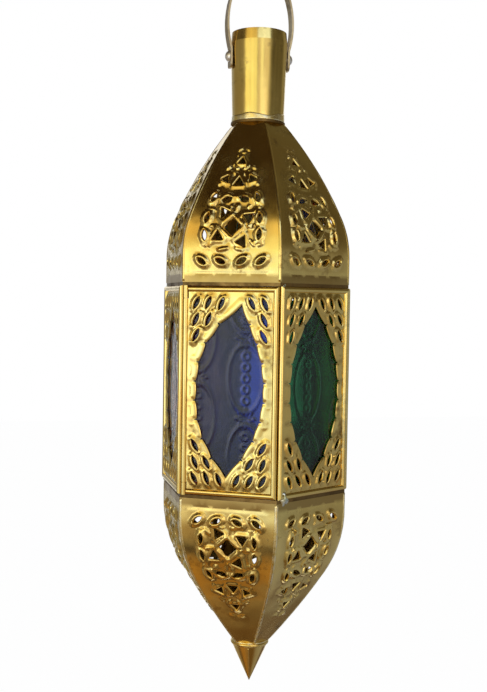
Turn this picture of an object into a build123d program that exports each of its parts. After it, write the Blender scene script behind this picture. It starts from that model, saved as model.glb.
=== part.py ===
from build123d import *

import os
from math import cos, radians, sin, sqrt, tan

# A six-sided hanging brass lantern: strap bail, neck, pierced dome, glazed body with a door, pierced bowl and tip.
# Millimetres, +Z up. The origin is under the crown of the bail, where a hook holds it. The bail's rivets lie along X.

# Body: the six-sided middle that the dome, bowl and rings line up with
face_apothem = 64.0
body_height = 152.5
side_angle = 60.0
half_side = tan(radians(side_angle / 2))
corner_cos = cos(radians(side_angle / 2))

# Sheet, wire and fits
sheet = 0.8
running_clearance = 0.08
seat_clearance = 0.02
side_clearance = 0.4

# Bail: a flat strap bent to a tall arch, with straight ends beside the neck
bail_width = 10.0
bail_thickness = 1.5
bail_tail = 9.0
bail_straight = 4.0
bail_flare_radius = 12.0
bail_flare_angle = 15.0
bail_side_radius = 70.0
bail_lean_angle = 20.0
bail_tail_corner = 3.5
bail_gap = 0.45

# Rivets that the bail turns on
rivet_radius = 2.0
rivet_head_radius = 4.4
rivet_head_height = 3.0
rivet_tail_radius = 3.4
rivet_tail_height = 1.2
rivet_below_rim = 18.4

# Neck tube, turned in a little at its rim, and the flange that it stands on
neck_rim_radius = 21.7
neck_foot_radius = 19.7
neck_length = 68.0
neck_lip_height = 8.0
neck_lip_inset = 0.8
flange_step = 1.2
flange_seat = 3.2
flange_thickness = 1.5

# Dome and bowl walls: a straight hem, a shoulder and a long run to the narrow end, all from the axis to the outside
wall_inset = 0.35
dome_hem = 20.0
dome_shoulder_inset = 5.65
dome_shoulder_height = 50.0
dome_rim_step = 0.1
dome_height = 122.0
bowl_hem = 14.0
bowl_shoulder_inset = 12.65
bowl_shoulder_drop = 62.0
bowl_end_apothem = 12.6
bowl_height = 120.5

# Piercings of the dome and bowl: sizes, and runs along the wall from the hem's edge
hem_slit_run = 15.4
dome_diamond_run = 40.0
bowl_diamond_run = 35.5
diamond_radius = 6.6
triangle_radius = 5.0
small_triangle_radius = 4.0
slit_length = 8.0
slit_width = 3.2
eye_length = 9.0
eye_width = 3.4
cutter_depth = 4.0

# Four triangles round the diamond: their distance from its middle, and the turn of the four from the diagonals
corner_triangle_reach = 13.2
corner_triangle_turn = -12.0

# Piercings in mirrored pairs: place beside the middle line, rise along the wall above the diamond, and turn
lower_side_slit = (20.5, -6.0, 84.0)
upper_side_slit = (19.8, 6.5, 100.0)
brow_slit = (16.5, 23.0, 110.0)
eye = (6.2, 21.5, -14.0)
flank_triangle = (10.0, 38.5, 30.0)

# Slits of the hem: place beside the middle line, and turn
outer_hem_slit = (22.5, 35.0)
inner_hem_slit = (8.0, 25.0)

# Single piercings above the diamond, on the middle line
top_triangle_rise = 35.5
last_triangle_rise = 54.0

# Hexagonal rings under the dome and under the body
ring_inset = 0.6
ring_width = 13.4
ring_thickness = 2.5

# Glazed faces: bead frame, fret, glass and clips
bead_radius = 2.1
bead_corner_inset = 2.8
bead_slot_depth = 1.0
window_end_margin = 13.75
window_side_margin = 10.95
window_fullness = 2.3
door_tip_lean = 8.7
door_tip_curl = 4
door_foot_lean = 2.0
window_lobes = 9
lobe_depth = 1.1
fret_slot_length = 10.0
fret_slot_width = 3.2
fret_slot_tilt = 27.0
fret_slot_border = 6.2
fret_slot_pitch = 9.4
fret_slot_top_margin = 8.0
fret_row_pitch = 11.8
fret_rows = 3
fret_web = 4.6
glass_thickness = 3.0
glass_gap = 0.2
glass_side_gap = 0.6
glass_overlap = 4.0
clip_sheet = 0.6
clip_width = 7.0
clip_base = 4.6
clip_lip = 4.0

# Door hinge and catch, and the upright strip behind the gap at the door's free edge
hinge_pin_radius = 1.0
knuckle_length = 9.0
catch_place = 22.0
catch_width = 8.0
catch_height = 6.0
catch_foot = 7.0
stop_width = 5.6
stop_gap = 0.5

# Candle plate, cup and rivets
plate_overlap = 4.0
plate_hole_radius = 3.5
plate_hole_inset = 16.0
plate_hole_count = 12
cup_bore_radius = 11.2
cup_depth = 20.0
cup_flange_radius = 19.0
cup_rivet_count = 3
cup_rivet_circle_radius = 15.5
cup_rivet_radius = 1.2
cup_rivet_head_radius = 2.2
cup_rivet_head_height = 0.9

# Collar and tip
collar_step = 0.35
collar_hole_radius = 8.0
collar_thickness = 2.6
collar_rounding = 1.2
tip_step = 1.0
tip_height = 30.5
tip_wall = 1.0

# Places worked out from the sizes above
face_angles = {
    "front_left": 240.0,
    "front_right": 300.0,
    "right": 0.0,
    "rear_right": 60.0,
    "rear_left": 120.0,
    "left": 180.0,
}
door_face = "front_left"
door_angle = face_angles[door_face]

flange_radius = neck_foot_radius + flange_step
flange_hole_radius = neck_foot_radius - flange_seat
wall_apothem = face_apothem - wall_inset
dome_shoulder_apothem = wall_apothem - dome_shoulder_inset
dome_top_apothem = (flange_radius + dome_rim_step) * corner_cos
bowl_shoulder_apothem = wall_apothem - bowl_shoulder_inset
ring_apothem = face_apothem - ring_inset
ring_inner_apothem = ring_apothem - ring_width
plate_radius = ring_inner_apothem + plate_overlap
plate_hole_circle_radius = plate_radius - plate_hole_inset
collar_radius = bowl_end_apothem / corner_cos + collar_step
tip_radius = collar_radius - tip_step

neck_slope = (neck_rim_radius - neck_foot_radius) / (neck_length - neck_lip_height)
neck_pivot_radius = neck_rim_radius - neck_slope * (rivet_below_rim - neck_lip_height)
bail_leg_x = neck_pivot_radius + bail_gap + bail_thickness / 2
flare = radians(bail_flare_angle)
lean = radians(bail_lean_angle)
bail_flare_x = bail_leg_x + bail_flare_radius * (1 - cos(flare))
bail_lean_x = bail_flare_x - bail_side_radius * (cos(flare) - cos(lean))
bail_lean_rise = bail_straight + bail_flare_radius * sin(flare) + bail_side_radius * (sin(flare) + sin(lean))
bail_crown_radius = bail_lean_x / cos(lean)
bail_rise = bail_lean_rise + bail_crown_radius * (1 - sin(lean))

pivot_z = bail_thickness / 2 - bail_rise
rim_z = pivot_z + rivet_below_rim
neck_foot_z = rim_z - neck_length
dome_top_z = neck_foot_z - flange_thickness
dome_bottom_z = dome_top_z - dome_height
body_top_z = dome_bottom_z - ring_thickness
body_bottom_z = body_top_z - body_height
body_middle_z = (body_top_z + body_bottom_z) / 2
bowl_top_z = body_bottom_z - ring_thickness
bowl_bottom_z = bowl_top_z - bowl_height
tip_top_z = bowl_bottom_z - collar_thickness

bead_apothem = face_apothem - sheet / 2
bead_side = bead_apothem * half_side - bead_corner_inset
bead_rise = body_height / 2 - bead_radius
fret_side = bead_side - bead_radius
fret_rise = bead_rise - bead_radius
glass_front = face_apothem - sheet - glass_gap
glass_back = glass_front - glass_thickness
glass_side = fret_side - glass_side_gap
window_half_height = body_height / 2 - window_end_margin
window_half_width = face_apothem * half_side - window_side_margin
glass_rise = window_half_height + glass_overlap
barrel_rise = body_height / 2 - knuckle_length - side_clearance

os.makedirs("parts", exist_ok=True)


def keep(piece, name):
    """Label a finished piece and write it."""
    piece.part.label = name
    export_step(piece.part, f"parts/{name}.step")


def on_face(piece, angle):
    """A copy of a piece made on the +X face, turned about the axis to another face."""
    with BuildPart() as placed:
        add(piece.part, rotation=(0, 0, angle))
    return placed


def upright_plane(height, sideways=0.0):
    """The XZ plane with its own origin at a height on the axis, or beside it."""
    return Plane(origin=(0, sideways, height), x_dir=(1, 0, 0), z_dir=(0, -1, 0))


def almond(length, width):
    """A pointed oval along its own X: two equal arcs that meet at the tips."""
    with BuildSketch(mode=Mode.PRIVATE) as shape:
        with BuildLine():
            ThreePointArc((-length / 2, 0), (0, width / 2), (length / 2, 0))
            ThreePointArc((length / 2, 0), (0, -width / 2), (-length / 2, 0))
        make_face()
    return shape.sketch


def polygon(radius, corners):
    """A regular polygon with one corner up."""
    with BuildSketch(mode=Mode.PRIVATE) as shape:
        RegularPolygon(radius, corners, rotation=90)
    return shape.sketch


def hex_ring(top_z, outer, inner, thickness):
    """A flat hexagonal ring, given by its outer and inner apothems."""
    with BuildPart() as ring:
        with BuildSketch(Plane.XY.offset(top_z)):
            RegularPolygon(outer, 6, major_radius=False, rotation=side_angle / 2)
            RegularPolygon(inner, 6, major_radius=False, rotation=side_angle / 2, mode=Mode.SUBTRACT)
        extrude(amount=-thickness)
    return ring


# Bail
def make_bail():
    """A strap with its middle line in XZ, bent outwards above the neck and round over the crown."""
    with BuildLine(mode=Mode.PRIVATE) as middle:
        straight = Line((bail_leg_x, -bail_tail), (bail_leg_x, bail_straight))
        bend = JernArc(straight @ 1, (0, 1), bail_flare_radius, -bail_flare_angle)
        arch = JernArc(bend @ 1, bend % 1, bail_side_radius, bail_flare_angle + bail_lean_angle)
        JernArc(arch @ 1, arch % 1, bail_crown_radius, 90 - bail_lean_angle)
        mirror(about=Plane.YZ)
    with BuildPart() as bail:
        with BuildSketch(upright_plane(pivot_z)):
            trace(middle.line, line_width=bail_thickness)
        extrude(amount=bail_width / 2, both=True)
        tail_edges = bail.edges().filter_by(Axis.X).group_by(Axis.Z)[0]
        fillet(tail_edges, bail_tail_corner)
        with Locations(Location((0, 0, pivot_z), (0, 90, 0))):
            Hole(rivet_radius + running_clearance)
    return bail


def make_rivet(side):
    """A rivet along X: a domed head outside the strap, and an upset tail inside the neck wall."""
    neck_bore = neck_pivot_radius - sheet
    tail_face = sqrt(neck_bore**2 - rivet_tail_radius**2) - neck_slope * rivet_tail_radius
    head_face = bail_leg_x + bail_thickness / 2 + side_clearance / 2
    with BuildPart() as rivet:
        with BuildSketch(upright_plane(pivot_z)):
            with BuildLine():
                crown = (side * (head_face + rivet_head_height), 0)
                rim = (side * head_face, rivet_head_radius)
                TangentArc(crown, rim, tangent=(0, 1))
                Polyline(
                    rim,
                    (side * head_face, rivet_radius),
                    (side * tail_face, rivet_radius),
                    (side * tail_face, rivet_tail_radius),
                    (side * (tail_face - rivet_tail_height), rivet_tail_radius),
                    (side * (tail_face - rivet_tail_height), 0),
                    crown,
                )
            make_face()
        revolve(axis=Axis((0, 0, pivot_z), (1, 0, 0)))
    return rivet


keep(make_bail(), "bail_strap")
keep(make_rivet(-1), "left_bail_rivet")
keep(make_rivet(1), "right_bail_rivet")


# Neck
with BuildPart() as neck_tube:
    with BuildSketch(Plane.XZ):
        Polygon(
            (neck_foot_radius - sheet, neck_foot_z),
            (neck_foot_radius, neck_foot_z),
            (neck_rim_radius, rim_z - neck_lip_height),
            (neck_rim_radius - neck_lip_inset, rim_z),
            (neck_rim_radius - neck_lip_inset - sheet, rim_z),
            (neck_rim_radius - sheet, rim_z - neck_lip_height),
            align=None,
        )
    revolve(axis=Axis.Z)
    with Locations(Location((0, 0, pivot_z), (0, 90, 0))):
        Hole(rivet_radius + seat_clearance)
keep(neck_tube, "neck_tube")

with BuildPart() as neck_flange:
    with BuildSketch(Plane.XY.offset(dome_top_z)):
        Circle(flange_radius)
        Circle(flange_hole_radius, mode=Mode.SUBTRACT)
    extrude(amount=flange_thickness)
keep(neck_flange, "neck_flange")


# Pierced walls of the dome and bowl
def piercings(diamond_run):
    """The holes of one wall: shape, sideways place, run from the hem's edge and turn, as seen with the hem below."""
    slit_shape = almond(slit_length, slit_width)
    eye_shape = almond(eye_length, eye_width)
    triangle = polygon(triangle_radius, 3)
    small_triangle = polygon(small_triangle_radius, 3)
    pairs = [
        (slit_shape, lower_side_slit),
        (slit_shape, upper_side_slit),
        (slit_shape, brow_slit),
        (eye_shape, eye),
        (small_triangle, flank_triangle),
    ]
    holes = [
        (polygon(diamond_radius, 4), 0.0, diamond_run, 0.0),
        (triangle, 0.0, diamond_run + top_triangle_rise, 0.0),
        (small_triangle, 0.0, diamond_run + last_triangle_rise, 0.0),
    ]
    for corner in range(4):
        turn = 45 + corner * 90 + corner_triangle_turn
        place = corner_triangle_reach * cos(radians(turn))
        rise = corner_triangle_reach * sin(radians(turn))
        holes.append((triangle, place, diamond_run + rise, turn - 90))
    for side in (-1, 1):
        for shape, (place, rise, turn) in pairs:
            holes.append((shape, side * place, diamond_run + rise, side * turn))
        for place, turn in (outer_hem_slit, inner_hem_slit):
            holes.append((slit_shape, side * place, hem_slit_run, side * turn))
    return holes


def make_wall(edge_z, rise, hem, shoulder, end, diamond_run):
    """One of six curved panels on the +X side, mitred to its neighbours. rise is 1 for a dome and -1 for a bowl."""
    with BuildLine(mode=Mode.PRIVATE) as outline:
        Line((wall_apothem, 0), (wall_apothem, rise * hem))
        bend = TangentArc((wall_apothem, rise * hem), shoulder, tangent=(0, rise))
        TangentArc(shoulder, end, tangent=bend % 1)
    path = outline.wire()
    inside = Side.LEFT if rise > 0 else Side.RIGHT
    with BuildPart() as wall:
        with BuildSketch(upright_plane(edge_z)):
            with BuildLine():
                add(outline.line)
                offset(amount=sheet, side=inside, kind=Kind.INTERSECTION)
            make_face()
        extrude(amount=wall_apothem * half_side, both=True)
        for side in (-1, 1):
            mitre = Plane(origin=(0, 0, 0), z_dir=(-half_side, side, 0))
            split(bisect_by=mitre, keep=Keep.BOTTOM)
        for shape, sideways, run, turn in piercings(diamond_run):
            point = path.position_at(run, position_mode=PositionMode.LENGTH)
            along = path.tangent_at(run, position_mode=PositionMode.LENGTH)
            seat = Plane(
                origin=(point.X, rise * sideways, edge_z + point.Y),
                x_dir=(0, rise, 0),
                z_dir=(rise * along.Y, 0, -rise * along.X),
            )
            with BuildSketch(seat):
                add(shape, rotation=turn)
        extrude(amount=cutter_depth, both=True, mode=Mode.SUBTRACT)
    return wall


dome_wall = make_wall(
    dome_bottom_z, 1, dome_hem, (dome_shoulder_apothem, dome_shoulder_height),
    (dome_top_apothem, dome_height), dome_diamond_run,
)
bowl_wall = make_wall(
    bowl_top_z, -1, bowl_hem, (bowl_shoulder_apothem, -bowl_shoulder_drop),
    (bowl_end_apothem, -bowl_height), bowl_diamond_run,
)
for face, angle in face_angles.items():
    keep(on_face(dome_wall, angle), f"dome_panel_{face}")
    keep(on_face(bowl_wall, angle), f"bowl_panel_{face}")


# Rings
keep(hex_ring(dome_bottom_z, ring_apothem, ring_inner_apothem, ring_thickness), "upper_ring")
keep(hex_ring(body_bottom_z, ring_apothem, ring_inner_apothem, ring_thickness), "lower_ring")


# Glazed faces
def face_plane(apothem):
    """A plane on the +X face at a distance from the axis, with X sideways and Y up from the body's middle."""
    return Plane(origin=(apothem, 0, body_middle_z), x_dir=(0, 1, 0), z_dir=(1, 0, 0))


def window_edge(height, side, leaning):
    """The sideways place of the window's edge at a height from its middle. A leaning window has its tip to the right."""
    share = height / window_half_height
    half = window_half_width * (1 - abs(share) ** window_fullness)
    if not leaning:
        return side * half
    middle = door_tip_lean * share**door_tip_curl if share > 0 else door_foot_lean * share
    return middle + side * half


def window_outline(leaning):
    """A pointed oval window whose edge is a row of small lobes."""
    steps = [window_half_height * (2 * i / window_lobes - 1) for i in range(window_lobes + 1)]
    right = [(window_edge(height, 1, leaning), height) for height in steps]
    left = [(window_edge(height, -1, leaning), height) for height in reversed(steps)]
    corners = right + left[1:]
    with BuildSketch(mode=Mode.PRIVATE) as window:
        with BuildLine():
            for start, finish in zip(corners, corners[1:]):
                SagittaArc(start, finish, lobe_depth)
        make_face()
    return window.sketch


def fret_slots(leaning, rise):
    """Rows of slanted slots in each corner: fewer in each row towards the middle, and only where they clear the window."""
    slot = almond(fret_slot_length, fret_slot_width)
    with BuildSketch(mode=Mode.PRIVATE) as slots:
        for side in (-1, 1):
            for end in (-1, 1):
                for row in range(fret_rows):
                    height = rise - fret_slot_top_margin - row * fret_row_pitch
                    level = end * min(height, window_half_height)
                    window = side * window_edge(level, side, leaning)
                    for count in range(fret_rows - row):
                        place = fret_side - fret_slot_border - count * fret_slot_pitch
                        if place > window + fret_web:
                            with Locations((side * place, end * height)):
                                add(slot, rotation=90 + side * end * fret_slot_tilt)
    return slots.sketch


def make_fret(rise):
    """A fixed fret: its edges sit in the slots of the bead frame."""
    with BuildPart() as fret:
        with BuildSketch(face_plane(face_apothem)):
            Rectangle(2 * (fret_side + bead_slot_depth), 2 * (rise + bead_slot_depth))
            add(window_outline(False), mode=Mode.SUBTRACT)
            add(fret_slots(False, rise), mode=Mode.SUBTRACT)
        extrude(amount=-sheet)
    return fret


def make_frame():
    """A rolled bead round a fixed face, mitred at its corners and slotted for the fret."""
    with BuildPart() as frame:
        with BuildLine(face_plane(bead_apothem)):
            Polyline(
                (-bead_side, 0), (-bead_side, bead_rise), (bead_side, bead_rise),
                (bead_side, -bead_rise), (-bead_side, -bead_rise), close=True,
            )
        with BuildSketch(Plane(origin=(bead_apothem, -bead_side, body_middle_z), z_dir=(0, 0, 1))):
            Circle(bead_radius)
        sweep(transition=Transition.RIGHT)
        with BuildSketch(face_plane(face_apothem)):
            Rectangle(2 * (fret_side + bead_slot_depth), 2 * (fret_rise + bead_slot_depth))
        extrude(amount=-sheet, mode=Mode.SUBTRACT)
    return frame


def make_glass():
    """A flat pane behind the window."""
    with BuildPart() as glass:
        with BuildSketch(face_plane(glass_front)):
            Rectangle(2 * glass_side, 2 * glass_rise)
        extrude(amount=-glass_thickness)
    return glass


def make_clips():
    """Two bent clips, one above and one below the pane, soldered to the back of the fret."""
    back = face_apothem - sheet
    lip_front = glass_back - glass_gap
    foot = glass_rise + glass_gap
    with BuildPart() as clips:
        for end in (-1, 1):
            with BuildSketch(upright_plane(body_middle_z)):
                Polygon(
                    (back, end * foot),
                    (back, end * (foot + clip_base)),
                    (back - clip_sheet, end * (foot + clip_base)),
                    (back - clip_sheet, end * (foot + clip_sheet)),
                    (lip_front - clip_sheet, end * (foot + clip_sheet)),
                    (lip_front - clip_sheet, end * (foot - clip_lip)),
                    (lip_front, end * (foot - clip_lip)),
                    (lip_front, end * foot),
                    align=None,
                )
        extrude(amount=clip_width / 2, both=True)
    return clips


fixed_frame = make_frame()
fixed_fret = make_fret(fret_rise)
pane = make_glass()
pane_clips = make_clips()
for face, angle in face_angles.items():
    if face != door_face:
        keep(on_face(fixed_frame, angle), f"frame_{face}")
        keep(on_face(fixed_fret, angle), f"fret_{face}")
        keep(on_face(pane, angle), f"glass_{face}")
        keep(on_face(pane_clips, angle), f"glass_clips_{face}")


# Door: beads on three sides, a hinge barrel on the fourth
door_bead_rise = bead_rise - side_clearance
door_fret_rise = door_bead_rise - bead_radius
door_rail_start = -bead_side + bead_radius + side_clearance
hinge_plane = Plane(origin=(bead_apothem, -bead_side, body_middle_z), z_dir=(0, 0, 1))


def make_door_frame():
    """A bead along the top, the free edge and the bottom of the door, slotted for the fret."""
    with BuildPart() as frame:
        with BuildLine(face_plane(bead_apothem)):
            Polyline(
                (door_rail_start, door_bead_rise), (bead_side, door_bead_rise),
                (bead_side, -door_bead_rise), (door_rail_start, -door_bead_rise),
            )
        start = (bead_apothem, door_rail_start, body_middle_z + door_bead_rise)
        with BuildSketch(Plane(origin=start, z_dir=(0, 1, 0))):
            Circle(bead_radius)
        sweep(transition=Transition.RIGHT)
        with BuildSketch(face_plane(face_apothem)):
            Rectangle(2 * (fret_side + bead_slot_depth), 2 * (door_fret_rise + bead_slot_depth))
        extrude(amount=-sheet, mode=Mode.SUBTRACT)
    return frame


def make_door_fret():
    """The door's fret: its hinge edge enters the barrel and steps back beside the fixed knuckles."""
    barrel_edge = fret_side + bead_slot_depth
    knuckle_edge = -door_rail_start
    rise = door_fret_rise + bead_slot_depth
    with BuildPart() as fret:
        with BuildSketch(face_plane(face_apothem)):
            Polygon(
                (-barrel_edge, barrel_rise), (-knuckle_edge, barrel_rise), (-knuckle_edge, rise),
                (barrel_edge, rise), (barrel_edge, -rise), (-knuckle_edge, -rise),
                (-knuckle_edge, -barrel_rise), (-barrel_edge, -barrel_rise), align=None,
            )
            add(window_outline(True), mode=Mode.SUBTRACT)
            add(fret_slots(True, door_fret_rise), mode=Mode.SUBTRACT)
        extrude(amount=-sheet)
    return fret


def make_barrel():
    """The rolled hinge edge of the door: a tube on the hinge wire, slotted for the fret."""
    with BuildPart() as barrel:
        with BuildSketch(hinge_plane.offset(-barrel_rise)):
            Circle(bead_radius)
            Circle(hinge_pin_radius + running_clearance, mode=Mode.SUBTRACT)
        extrude(amount=2 * barrel_rise)
        with BuildSketch(face_plane(face_apothem)):
            Rectangle(2 * (fret_side + bead_slot_depth), 2 * barrel_rise)
        extrude(amount=-sheet, mode=Mode.SUBTRACT)
    return barrel


def make_knuckle(end):
    """A fixed knuckle between a ring and the door's barrel."""
    start = body_height / 2 - knuckle_length if end > 0 else -body_height / 2
    with BuildPart() as knuckle:
        with BuildSketch(hinge_plane.offset(start)):
            Circle(bead_radius)
            Circle(hinge_pin_radius + seat_clearance, mode=Mode.SUBTRACT)
        extrude(amount=knuckle_length)
    return knuckle


with BuildPart() as hinge_pin:
    with BuildSketch(hinge_plane.offset(-body_height / 2)):
        Circle(hinge_pin_radius)
    extrude(amount=body_height)

with BuildPart() as door_catch:
    catch_face = bead_apothem - bead_radius - side_clearance
    with BuildSketch(upright_plane(body_bottom_z, catch_place)):
        Polygon(
            (catch_face, 0), (catch_face, catch_height), (catch_face - sheet, catch_height),
            (catch_face - sheet, sheet), (catch_face - catch_foot, sheet), (catch_face - catch_foot, 0),
            align=None,
        )
    extrude(amount=catch_width / 2, both=True)

with BuildPart() as door_stop:
    stop_face = corner_cos * (bead_apothem + half_side * bead_side) - bead_radius - stop_gap
    with BuildSketch(Plane.XY.offset(body_bottom_z)):
        with Locations((stop_face - sheet / 2, 0)):
            Rectangle(sheet, stop_width)
    extrude(amount=body_height)

keep(on_face(make_door_frame(), door_angle), "door_frame")
keep(on_face(make_door_fret(), door_angle), "door_fret")
keep(on_face(make_barrel(), door_angle), "door_hinge_barrel")
keep(on_face(pane, door_angle), "door_glass")
keep(on_face(pane_clips, door_angle), "door_glass_clips")
keep(on_face(make_knuckle(1), door_angle), "hinge_knuckle_upper")
keep(on_face(make_knuckle(-1), door_angle), "hinge_knuckle_lower")
keep(on_face(hinge_pin, door_angle), "hinge_pin")
keep(on_face(door_catch, door_angle), "door_catch")
keep(on_face(door_stop, door_angle + side_angle / 2), "door_stop")


# Candle plate and cup
plate_top_z = body_bottom_z + sheet
cup_floor_z = plate_top_z + sheet

with BuildPart() as candle_plate:
    with BuildSketch(Plane.XY.offset(body_bottom_z)):
        Circle(plate_radius)
        with PolarLocations(plate_hole_circle_radius, plate_hole_count):
            Circle(plate_hole_radius, mode=Mode.SUBTRACT)
        with PolarLocations(cup_rivet_circle_radius, cup_rivet_count):
            Circle(cup_rivet_radius + seat_clearance, mode=Mode.SUBTRACT)
    extrude(amount=sheet)
keep(candle_plate, "candle_plate")

with BuildPart() as candle_cup:
    with BuildSketch(Plane.XY.offset(plate_top_z)):
        Circle(cup_flange_radius)
        with PolarLocations(cup_rivet_circle_radius, cup_rivet_count):
            Circle(cup_rivet_radius + seat_clearance, mode=Mode.SUBTRACT)
    extrude(amount=sheet)
    with BuildSketch(Plane.XY.offset(cup_floor_z)):
        Circle(cup_bore_radius + sheet)
        Circle(cup_bore_radius, mode=Mode.SUBTRACT)
    extrude(amount=cup_depth)
keep(candle_cup, "candle_cup")

with BuildPart() as cup_rivets:
    for head_z in (body_bottom_z - cup_rivet_head_height, cup_floor_z):
        with BuildSketch(Plane.XY.offset(head_z)):
            with PolarLocations(cup_rivet_circle_radius, cup_rivet_count):
                Circle(cup_rivet_head_radius)
        extrude(amount=cup_rivet_head_height)
    with BuildSketch(Plane.XY.offset(body_bottom_z)):
        with PolarLocations(cup_rivet_circle_radius, cup_rivet_count):
            Circle(cup_rivet_radius)
    extrude(amount=cup_floor_z - body_bottom_z)
keep(cup_rivets, "cup_rivets")


# Collar and tip
with BuildPart() as tip_collar:
    with BuildSketch(Plane.XY.offset(tip_top_z)):
        Circle(collar_radius)
        Circle(collar_hole_radius, mode=Mode.SUBTRACT)
    extrude(amount=collar_thickness)
    outer_edges = tip_collar.edges().filter_by(GeomType.CIRCLE).sort_by(SortBy.RADIUS)[-2:]
    fillet(outer_edges, collar_rounding)
keep(tip_collar, "tip_collar")

with BuildPart() as tip_cone:
    with BuildSketch(Plane.XZ):
        Polygon(
            (tip_radius, tip_top_z),
            (0, tip_top_z - tip_height),
            (0, tip_top_z - tip_height * (tip_radius - tip_wall) / tip_radius),
            (tip_radius - tip_wall, tip_top_z),
            align=None,
        )
    revolve(axis=Axis.Z)
keep(tip_cone, "tip_cone")
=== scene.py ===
import random
from math import atan2, cos, pi, radians, sin, tan

import bpy
import numpy as np
from mathutils import Euler, Matrix, Vector, noise
from mathutils.geometry import delaunay_2d_cdt


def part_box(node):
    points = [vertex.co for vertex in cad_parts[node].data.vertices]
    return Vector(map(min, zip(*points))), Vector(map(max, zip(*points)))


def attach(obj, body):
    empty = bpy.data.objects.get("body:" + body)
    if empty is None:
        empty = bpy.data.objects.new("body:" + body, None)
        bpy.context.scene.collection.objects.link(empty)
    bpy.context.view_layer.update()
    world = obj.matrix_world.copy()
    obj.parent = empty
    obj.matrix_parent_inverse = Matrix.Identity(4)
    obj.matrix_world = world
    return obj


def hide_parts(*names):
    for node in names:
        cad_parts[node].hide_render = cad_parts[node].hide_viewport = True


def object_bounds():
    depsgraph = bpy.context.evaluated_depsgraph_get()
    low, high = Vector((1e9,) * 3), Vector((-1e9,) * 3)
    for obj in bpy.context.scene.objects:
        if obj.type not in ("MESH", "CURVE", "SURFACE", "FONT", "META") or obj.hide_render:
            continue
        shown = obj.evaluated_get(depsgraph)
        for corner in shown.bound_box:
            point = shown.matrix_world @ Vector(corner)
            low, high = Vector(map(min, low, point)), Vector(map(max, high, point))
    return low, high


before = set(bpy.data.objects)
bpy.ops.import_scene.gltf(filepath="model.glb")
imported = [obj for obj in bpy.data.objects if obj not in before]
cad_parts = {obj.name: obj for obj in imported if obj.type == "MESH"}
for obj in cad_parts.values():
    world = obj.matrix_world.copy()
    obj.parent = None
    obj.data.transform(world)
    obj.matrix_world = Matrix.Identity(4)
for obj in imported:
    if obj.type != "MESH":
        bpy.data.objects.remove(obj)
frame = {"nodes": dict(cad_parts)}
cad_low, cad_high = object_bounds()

# A six-sided hanging brass lantern in metres, +Z up, with one corner of the body towards -Y.
nodes = frame["nodes"]
scene = bpy.context.scene
scene.view_settings.view_transform = "Standard"

# Sizes of the body
face_apothem = 0.064
sheet = 0.0008
half_side = tan(radians(30))
corner_cos = cos(radians(30))
side_clearance = 0.0004
face_angles = {
    "front_left": 240.0,
    "front_right": 300.0,
    "right": 0.0,
    "rear_right": 60.0,
    "rear_left": 120.0,
    "left": 180.0,
}
door_face = "front_left"
dome_edge_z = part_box("dome_panel_right")[0].z
bowl_end_z, bowl_edge_z = (corner.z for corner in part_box("bowl_panel_right"))
body_low_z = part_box("frame_right")[0].z
body_high_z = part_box("frame_right")[1].z
body_middle_z = (body_low_z + body_high_z) / 2
body_height = body_high_z - body_low_z
bead_radius = 0.0021
bead_corner_inset = 0.0028
bead_apothem = face_apothem - sheet / 2
bead_side = bead_apothem * half_side - bead_corner_inset
fret_side = bead_side - bead_radius

# Walls of the dome and bowl: height of the hem, then apothem and height of the shoulder and the narrow end
wall_inset = 0.00035
wall_apothem = face_apothem - wall_inset
dome_hem = 0.02
dome_shoulder = (0.058, 0.050)
dome_end = (0.018273, 0.122)
bowl_hem = 0.014
bowl_shoulder = (0.0510, 0.062)
bowl_end = (0.0126, 0.1205)

# Neck and tip
neck_low, neck_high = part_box("neck_tube")
neck_foot_radius = 0.0197
neck_lip_height = 0.008
neck_shoulder_z = neck_high.z - neck_lip_height
neck_slope = (neck_high.x - neck_foot_radius) / (neck_shoulder_z - neck_low.z)
tip_low, tip_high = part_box("tip_cone")

# Colours of the metals
bright_brass = (0.83, 0.64, 0.225, 1)
warm_brass = (0.74, 0.50, 0.145, 1)
# Deep browns for stain spots, for the inner pieces and for painted shade
deep_brown = (0.27, 0.165, 0.055, 1)
darkest_brown = (0.12, 0.075, 0.030, 1)
olive_brass = (0.52, 0.43, 0.20, 1)
dull_strap = (0.57, 0.47, 0.29, 1)
warm_strap = (0.50, 0.40, 0.25, 1)
strap_tarnish = (0.30, 0.24, 0.15, 1)
solder_grey = (0.82, 0.82, 0.72, 1)
solder_green = (0.50, 0.55, 0.40, 1)
pale_solder = (0.90, 0.78, 0.48, 1)
rivet_silver = (0.95, 0.93, 0.91, 1)
warm_silver = (0.86, 0.80, 0.76, 1)
rivet_dull = (0.58, 0.52, 0.48, 1)


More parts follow.
